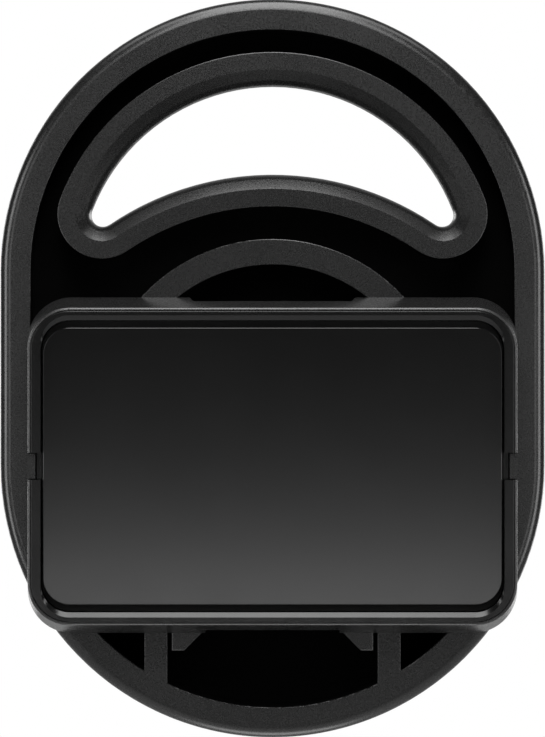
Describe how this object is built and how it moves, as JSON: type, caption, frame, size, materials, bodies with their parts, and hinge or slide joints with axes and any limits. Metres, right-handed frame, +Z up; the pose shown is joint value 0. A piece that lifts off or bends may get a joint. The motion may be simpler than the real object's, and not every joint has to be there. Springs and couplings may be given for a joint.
{
  "type": "bike phone mount",
  "caption": "Handlebar phone mount: a ribbed oval head with a crescent finger loop and a padded phone holder, swivelling on a hinged bar clamp that a knob closes.",
  "frame": {"origin": "on the handlebar's axis, in the middle of the clamp, straight behind the middle of the holder", "axes": "+X along the handlebar, +Z up towards the finger loop, -Y forward out of the phone pad"},
  "size_m": [0.062, 0.0617, 0.0864],
  "materials": {
    "grained_plastic": "dark grey moulded plastic with a fine spark-eroded grain",
    "satin_plastic": "black satin moulded plastic",
    "bezel_plastic": "black satin-gloss moulded plastic",
    "pad_rubber": "smooth black silicone rubber",
    "clamp_plastic": "dark grey glass-filled nylon",
    "liner_rubber": "matt black rubber",
    "nylon": "natural nylon",
    "steel": "zinc-plated steel",
    "nickel": "nickel-plated magnet",
    "brass": "turned brass"
  },
  "bodies": {
    "clamp_body": {"clamp_bracket": "clamp_plastic", "front_liner": "liner_rubber", "hinge_pin": "steel", "clamp_bolt": "steel", "spigot_insert": "brass", "swivel_screw": "steel", "retaining_washer": "steel", "disc_spring": "steel", "friction_washer": "nylon"},
    "head_body": {"body_frame": "grained_plastic", "holder_base": "satin_plastic", "bezel": "bezel_plastic", "grip_pad": "pad_rubber", "yoke_plate": "steel", "magnet_carrier": "satin_plastic", "magnet_1": "nickel", "magnet_2": "nickel", "magnet_3": "nickel", "magnet_4": "nickel", "magnet_5": "nickel", "magnet_6": "nickel", "holder_screws": "steel"},
    "jaw_body": {"clamp_jaw": "clamp_plastic", "rear_liner": "liner_rubber"},
    "washer_body": {"thrust_washer": "steel"},
    "knob_body": {"knob": "clamp_plastic", "knob_insert": "brass"}
  },
  "joints": [
    {"name": "head_swivel", "type": "hinge", "parent": "clamp_body", "child": "head_body", "pos_m": [0, -0.02785, 0], "axis": [0, 1, 0], "continuous": true},
    {"name": "knob_turn", "type": "hinge", "parent": "washer_body", "child": "knob_body", "pos_m": [0, 0.0093, -0.02655], "axis": [0, 1, 0], "range_deg": [0, 3600]},
    {"name": "washer_slide", "type": "slide", "parent": "clamp_body", "child": "washer_body", "axis": [0, 1, 0], "range_m": [0, 0.008]},
    {"name": "jaw_hinge", "type": "hinge", "parent": "clamp_body", "child": "jaw_body", "pos_m": [0, 0, 0.02255], "axis": [1, 0, 0], "range_deg": [0, 8]}
  ],
  "couplings": [
    {"joint": "knob_turn", "follows": "washer_slide", "rad_per_m": 7854},
    {"joint": "jaw_hinge", "follows": "washer_slide", "rad_per_m": 17.453}
  ]
}
